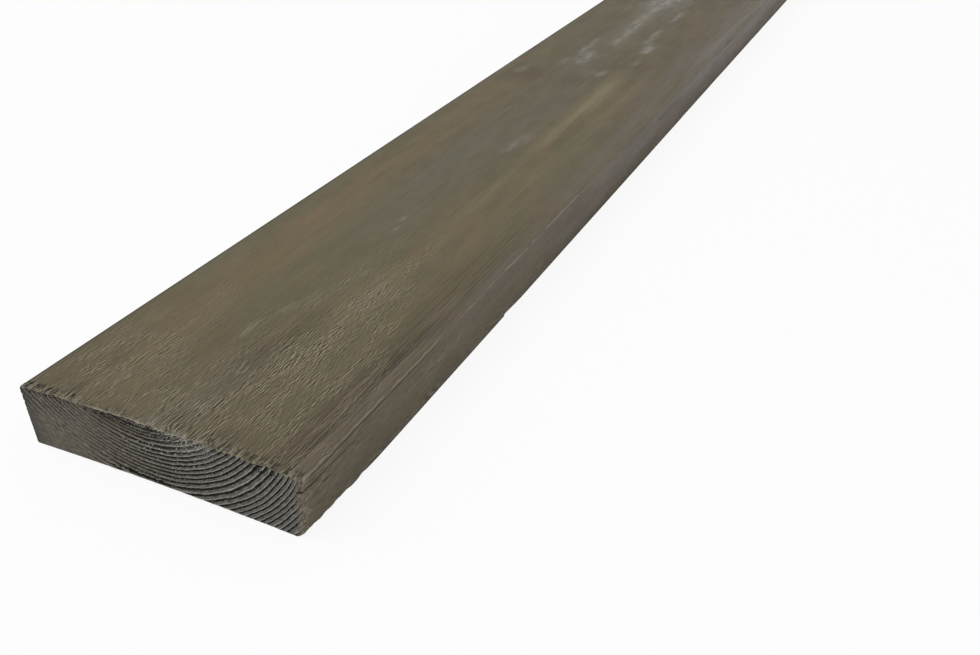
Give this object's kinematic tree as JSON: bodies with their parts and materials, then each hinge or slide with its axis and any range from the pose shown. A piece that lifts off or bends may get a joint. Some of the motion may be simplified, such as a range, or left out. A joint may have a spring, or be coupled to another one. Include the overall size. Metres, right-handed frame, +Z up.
{
  "type": "decking board",
  "caption": "Length of plain sawn softwood decking board, slightly cupped, with eased edges and a rough sawn end.",
  "frame": {"origin": "middle of the underside, at the floor that the board rests on", "axes": "+Y along the board, from the near sawn end to the far one; +Z up through the thickness"},
  "size_m": [0.1498, 1.8, 0.0334],
  "materials": {
    "timber": "matte"
  },
  "bodies": {
    "root": {"deck_board": "timber"}
  },
  "joints": []
}
